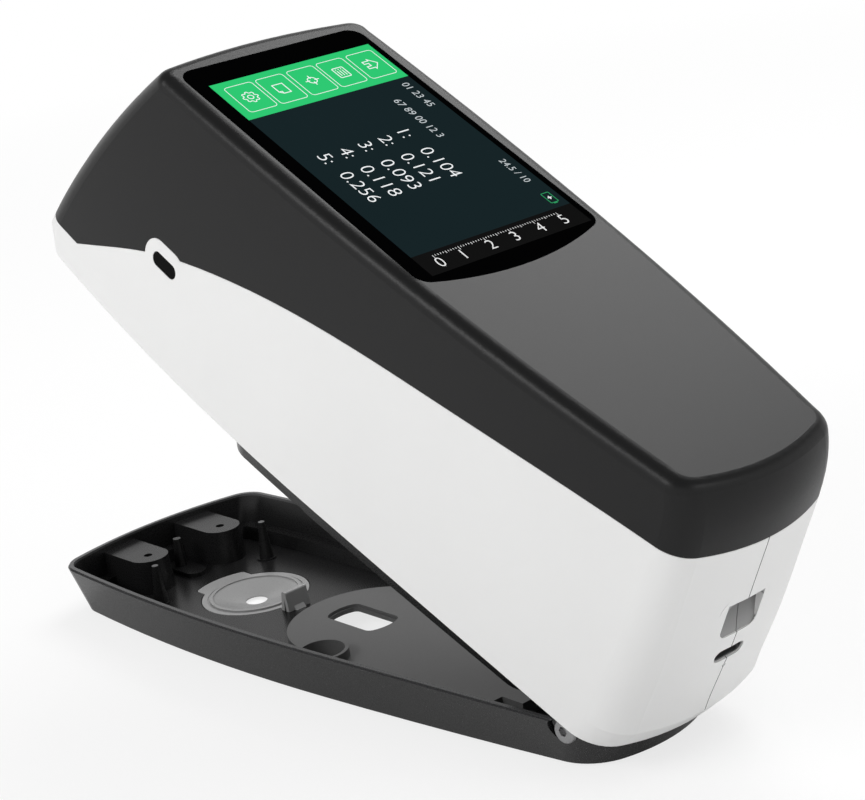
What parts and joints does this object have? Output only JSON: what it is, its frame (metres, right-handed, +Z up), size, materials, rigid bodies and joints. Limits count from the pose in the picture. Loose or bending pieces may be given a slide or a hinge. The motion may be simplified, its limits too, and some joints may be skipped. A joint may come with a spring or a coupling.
{
  "type": "handheld densitometer",
  "caption": "Handheld colour densitometer with a touch screen, sprung open on a hinged measuring shoe that presses flat over a sample.",
  "frame": {"origin": "middle of the measuring shoe's underside, where it lies on the sample", "axes": "+Z up off the table, +Y towards the far end with the screen and the measuring target, +X to the right seen from the heel"},
  "size_m": [0.0716, 0.2406, 0.1562],
  "materials": {
    "casing_dark": "fine satin texture",
    "casing_white": "smooth satin",
    "shoe_dark": "fine satin texture",
    "shoe_floor": "satin",
    "target_grey": "satin",
    "button_black": "satin",
    "screen_glass": "polished",
    "screen_panel": "lit display",
    "foam": "closed-cell foam",
    "rubber": "matte",
    "steel": "satin",
    "spring_steel": "drawn wire",
    "bronze": "sintered",
    "circuit_board": "solder mask",
    "inner_plastic": "moulded",
    "battery_wrap": "shrink wrap",
    "black_metal": "black anodised",
    "lens_glass": "polished",
    "ribbon": "polyimide film",
    "light_pipe": "clear"
  },
  "bodies": {
    "shoe": {"shoe_tray": "shoe_dark", "floor_plate": "shoe_floor", "target_ring": "target_grey", "rubber_feet": "rubber", "floor_plate_screws": "steel", "pivot_screws": "steel", "torsion_springs": "spring_steel"},
    "instrument": {"lower_housing": "shoe_dark", "pivot_bushes": "bronze", "left_shell": "casing_white", "right_shell": "casing_white", "top_cover": "casing_dark", "display_glass": "screen_glass", "display_gasket": "foam", "display_panel": "screen_panel", "panel_bracket": "steel", "bracket_screws": "steel", "inner_frame": "inner_plastic", "frame_screws": "steel", "cover_screws": "steel", "shell_screws": "steel", "main_board": "circuit_board", "board_screws": "steel", "ribbon_cable": "ribbon", "buzzer": "inner_plastic", "battery": "battery_wrap", "battery_strap": "inner_plastic", "strap_screws": "steel", "usb_port": "steel", "port_board": "circuit_board", "port_screws": "steel", "charge_light": "light_pipe", "nose_cone": "inner_plastic", "objective_lens": "lens_glass", "optics_head": "black_metal", "lamp_ring": "circuit_board", "sensor_board": "circuit_board", "head_screws": "steel", "button_switch": "inner_plastic", "switch_board": "circuit_board"},
    "button": {"power_button": "button_black", "switch_plunger": "inner_plastic"}
  },
  "joints": [
    {"name": "heel_hinge", "type": "hinge", "parent": "shoe", "child": "instrument", "pos_m": [0, -0.0898, 0.0112], "axis": [1, 0, 0], "range_deg": [-29.6, 0], "stiffness_Nm_per_rad": 0.4, "springref_deg": 68.75},
    {"name": "power_button_press", "type": "slide", "parent": "instrument", "child": "button", "axis": [1, 0, 0], "range_m": [0, 0.0008], "stiffness_N_per_m": 350, "springref_m": -0.002}
  ]
}
